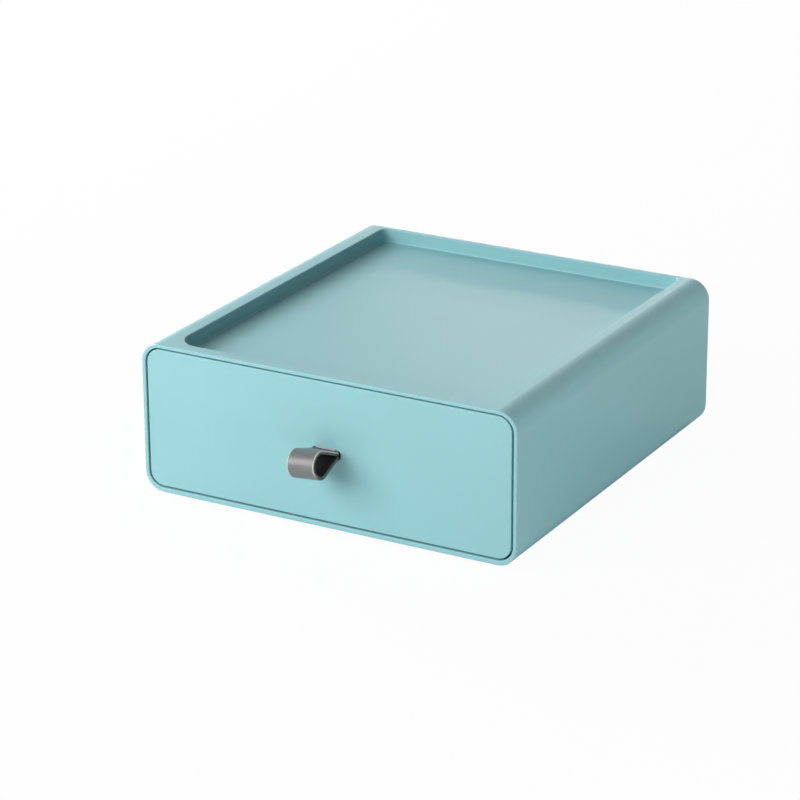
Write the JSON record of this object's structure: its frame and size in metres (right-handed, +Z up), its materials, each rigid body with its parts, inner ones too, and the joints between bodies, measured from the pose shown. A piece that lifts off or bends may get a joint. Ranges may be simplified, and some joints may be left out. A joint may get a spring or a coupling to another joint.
{
  "type": "stackable storage box",
  "caption": "Rounded moulded storage box with a shallow stacking tray in its top, a full-width sliding drawer and a leather loop pull.",
  "frame": {"origin": "middle of the object's whole box at rest, loop included, on the surface that it stands on", "axes": "+Z up, +X to the right seen from the front, +Y to the back, so the drawer opens towards -Y"},
  "size_m": [0.25, 0.2894, 0.098],
  "materials": {
    "case_plastic": "fine matte moulded, pale teal",
    "back_plastic": "fine matte moulded, pale teal",
    "bin_plastic": "fine matte moulded, pale teal",
    "front_plastic": "fine matte moulded, pale teal",
    "foot_rubber": "matte soft grey",
    "screw_steel": "zinc plated",
    "pin_steel": "drawn wire",
    "strap_leather": "smooth grey, two plies, pale cut edges"
  },
  "bodies": {
    "case": {"case_shell": "case_plastic", "back_panel": "back_plastic", "foot_pad_front_left": "foot_rubber", "foot_pad_front_right": "foot_rubber", "foot_pad_rear_left": "foot_rubber", "foot_pad_rear_right": "foot_rubber"},
    "drawer": {"drawer_bin": "bin_plastic", "drawer_front": "front_plastic", "front_screws": "screw_steel", "strap_pin": "pin_steel"},
    "pull": {"pull_strap": "strap_leather"}
  },
  "joints": [
    {"name": "drawer_slide", "type": "slide", "parent": "case", "child": "drawer", "axis": [0, -1, 0], "range_m": [0, 0.185]},
    {"name": "pull_swing", "type": "hinge", "parent": "drawer", "child": "pull", "pos_m": [0.001, -0.10865, 0.051], "axis": [-1, 0, 0], "range_deg": [-4, 4]}
  ]
}
